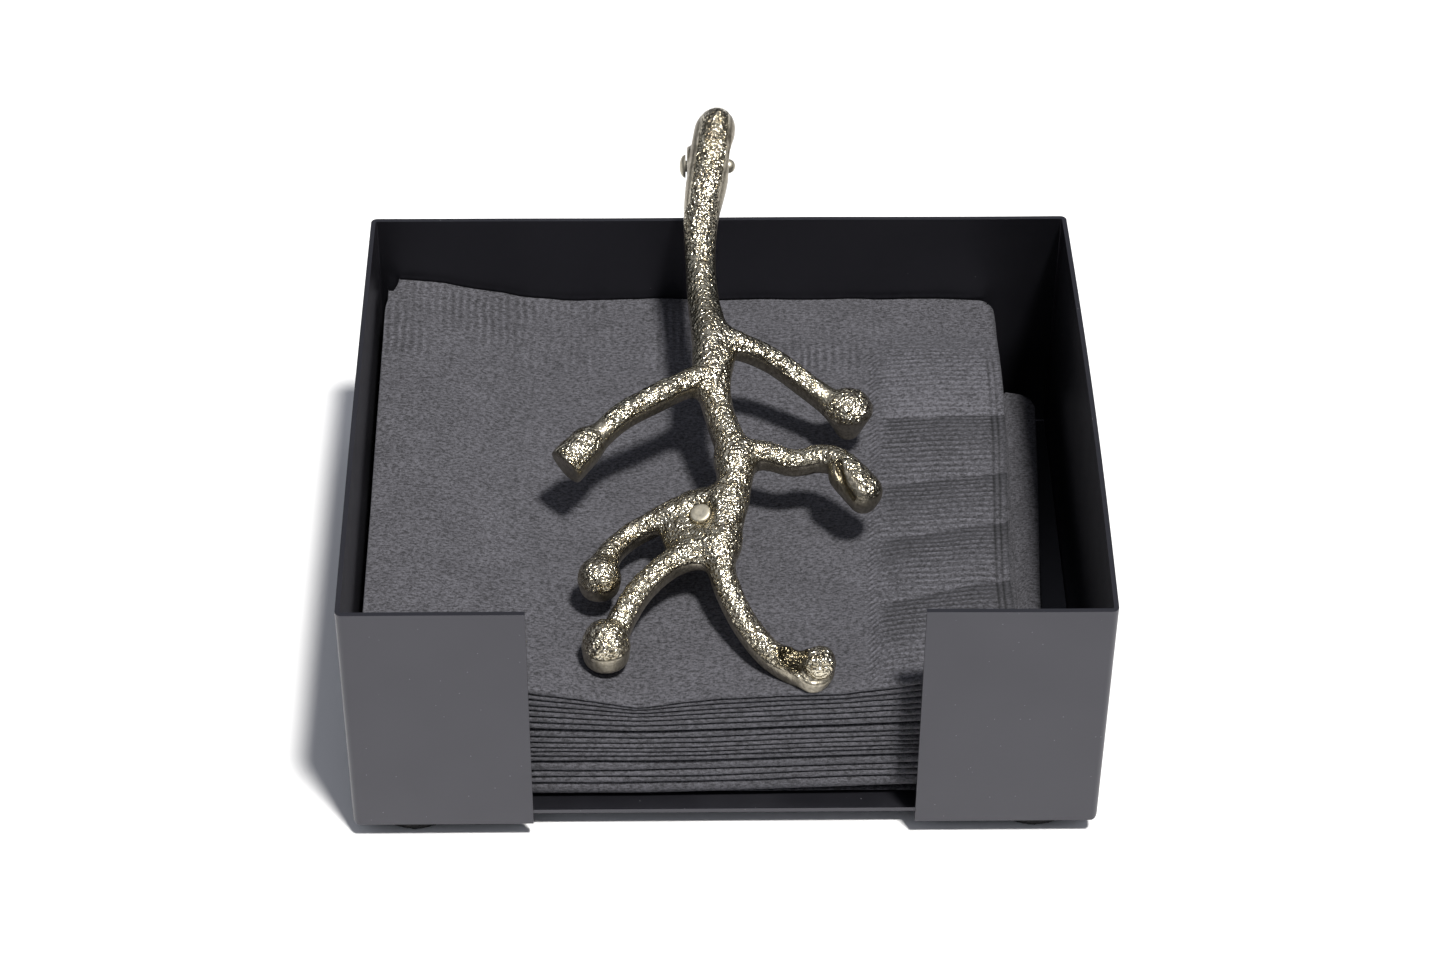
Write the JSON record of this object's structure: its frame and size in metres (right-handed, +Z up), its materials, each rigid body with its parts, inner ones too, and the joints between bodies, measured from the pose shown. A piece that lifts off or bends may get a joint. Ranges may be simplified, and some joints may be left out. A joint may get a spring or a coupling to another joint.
{
  "type": "napkin dispenser",
  "caption": "Open-front folded sheet-metal napkin tray on round pads, with a stack of folded napkins held down by a hinged cast twig arm.",
  "frame": {"origin": "centre of the holder's footprint, on the surface that the pads stand on", "axes": "+X along the tray's width, to the right seen from the open front; -Y towards the open front; +Z up"},
  "size_m": [0.184, 0.1648, 0.1051],
  "materials": {
    "powder_coat": "satin black powder coat on folded steel sheet",
    "cast_nickel": "rough sand-cast surface with champagne nickel plate",
    "polished_nickel": "smooth satin nickel plate",
    "pad_rubber": "coarse matt black",
    "napkin_paper": "matt dark grey tissue with crepe and an embossed border"
  },
  "bodies": {
    "holder": {"tray_body": "powder_coat", "foot_pad_front_left": "pad_rubber", "foot_pad_front_right": "pad_rubber", "foot_pad_rear_left": "pad_rubber", "foot_pad_rear_right": "pad_rubber", "hinge_bracket": "cast_nickel", "bracket_rivet_upper": "powder_coat", "bracket_rivet_lower": "powder_coat", "napkin_01": "napkin_paper", "napkin_02": "napkin_paper", "napkin_03": "napkin_paper", "napkin_04": "napkin_paper", "napkin_05": "napkin_paper", "napkin_06": "napkin_paper", "napkin_07": "napkin_paper", "napkin_08": "napkin_paper", "napkin_09": "napkin_paper", "napkin_10": "napkin_paper", "napkin_11": "napkin_paper", "napkin_12": "napkin_paper", "napkin_13": "napkin_paper", "napkin_14": "napkin_paper", "napkin_15": "napkin_paper", "napkin_16": "napkin_paper", "napkin_17": "napkin_paper", "napkin_18": "napkin_paper"},
    "arm": {"twig_arm": "cast_nickel", "web_plug": "polished_nickel", "hinge_pin": "polished_nickel"}
  },
  "joints": [
    {"name": "arm_hinge", "type": "hinge", "parent": "holder", "child": "arm", "pos_m": [-0.00325, 0.07225, 0.0908], "axis": [-1, 0, 0], "range_deg": [0, 105]}
  ]
}
